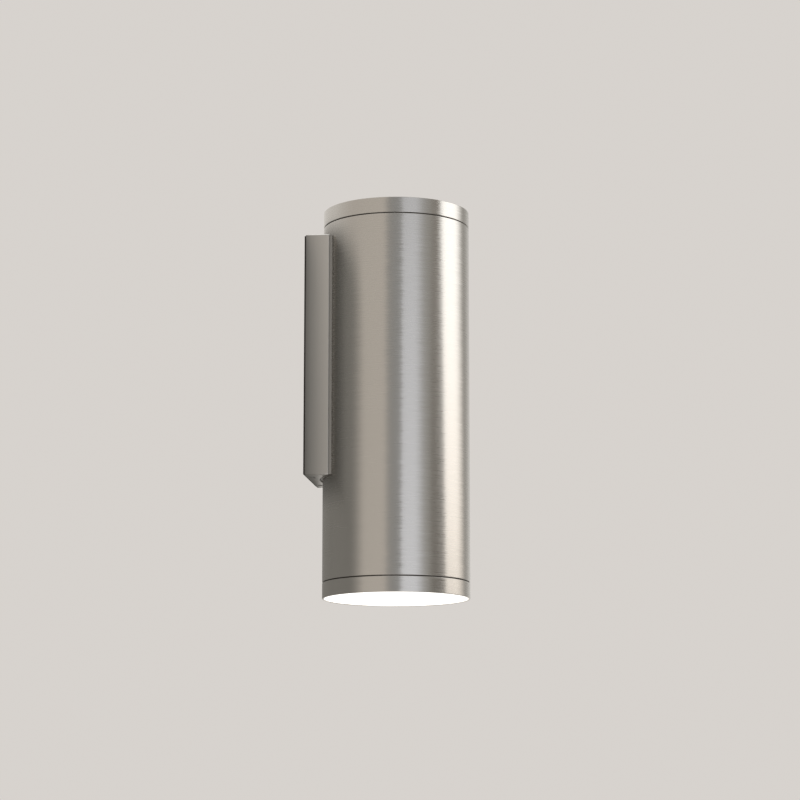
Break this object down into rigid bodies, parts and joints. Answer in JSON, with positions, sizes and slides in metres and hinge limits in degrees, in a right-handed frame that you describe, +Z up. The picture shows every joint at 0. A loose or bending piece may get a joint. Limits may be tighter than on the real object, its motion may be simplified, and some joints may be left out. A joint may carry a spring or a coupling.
{
  "type": "tube wall light",
  "caption": "Brushed steel tube wall light that shines down through an opal disc, closed at the top, on a slim wall bracket with a hidden fixing plate.",
  "frame": {"origin": "on the wall, at the back face of the wall plate, halfway between its two screw holes", "axes": "+Z up along the tube, +Y into the wall, +X to the right for someone who faces the wall"},
  "size_m": [0.1124, 0.1231, 0.3],
  "materials": {
    "brushed_steel_shell": "satin, brushed round the tube",
    "zinc_plated_steel": "zinc plated sheet",
    "steel_fixings": "plain stainless",
    "nipple_brass": "turned",
    "turned_aluminium": "turned",
    "sink_aluminium": "extruded, natural",
    "tinned_copper": "tin plated",
    "black_rubber": "matt",
    "grey_silicone": "matt",
    "white_silicone": "matt",
    "thermal_silicone": "matt",
    "opal_diffuser": "opal, lit from behind",
    "white_reflector": "white, semi gloss",
    "board_white": "white solder mask on aluminium",
    "phosphor_yellow": "yellow phosphor",
    "connector_white": "moulded",
    "driver_white": "moulded",
    "terminal_nylon": "moulded",
    "brown_insulation": "extruded",
    "blue_insulation": "extruded",
    "green_yellow_insulation": "extruded",
    "red_insulation": "extruded",
    "black_insulation": "extruded"
  },
  "bodies": {
    "wall_fixing": {"wall_plate": "zinc_plated_steel"},
    "bezel_carrier": {"bezel_seal": "black_rubber"},
    "bezel": {"bezel_ring": "brushed_steel_shell", "diffuser": "opal_diffuser", "diffuser_gasket": "white_silicone"},
    "cap_carrier": {"cap_seal": "black_rubber"},
    "cap": {"top_cap": "brushed_steel_shell"},
    "lamp_housing": {"tube_body": "brushed_steel_shell", "bracket_shell": "brushed_steel_shell", "gear_tray": "zinc_plated_steel", "locking_screws": "steel_fixings", "saddle_bolts": "steel_fixings", "saddle_washers": "steel_fixings", "saddle_nuts": "steel_fixings", "heat_sink_screws": "steel_fixings", "board_screws": "steel_fixings", "driver_screws": "steel_fixings", "terminal_clamp_screws": "steel_fixings", "terminal_fixing_screws": "steel_fixings", "earth_screw": "steel_fixings", "cable_nipple": "nipple_brass", "nipple_nut": "nipple_brass", "bottom_collar": "turned_aluminium", "top_collar": "turned_aluminium", "heat_sink": "sink_aluminium", "earth_ring": "tinned_copper", "rear_seal": "black_rubber", "saddle_pad": "grey_silicone", "thermal_pad": "thermal_silicone", "reflector": "white_reflector", "led_board": "board_white", "led_chips": "phosphor_yellow", "led_connector": "connector_white", "led_driver": "driver_white", "terminal_block": "terminal_nylon", "live_wire": "brown_insulation", "neutral_wire": "blue_insulation", "earth_wire": "green_yellow_insulation", "led_lead_positive": "red_insulation", "led_lead_negative": "black_insulation"}
  },
  "joints": [
    {"name": "pull_off", "type": "slide", "parent": "wall_fixing", "child": "lamp_housing", "axis": [0, -1, 0], "range_m": [0, 0.03]},
    {"name": "bezel_drop", "type": "slide", "parent": "lamp_housing", "child": "bezel_carrier", "axis": [0, 0, -1], "range_m": [0, 0.006]},
    {"name": "bezel_turn", "type": "hinge", "parent": "bezel_carrier", "child": "bezel", "pos_m": [0, -0.06685, -0.18], "axis": [0, 0, -1], "range_deg": [0, 1080]},
    {"name": "cap_rise", "type": "slide", "parent": "lamp_housing", "child": "cap_carrier", "axis": [0, 0, 1], "range_m": [0, 0.006]},
    {"name": "cap_turn", "type": "hinge", "parent": "cap_carrier", "child": "cap", "pos_m": [0, -0.06685, 0.11], "axis": [0, 0, 1], "range_deg": [0, 1080]}
  ],
  "couplings": [
    {"joint": "bezel_drop", "follows": "bezel_turn", "m_per_rad": 0.00031831},
    {"joint": "cap_rise", "follows": "cap_turn", "m_per_rad": 0.00031831}
  ]
}
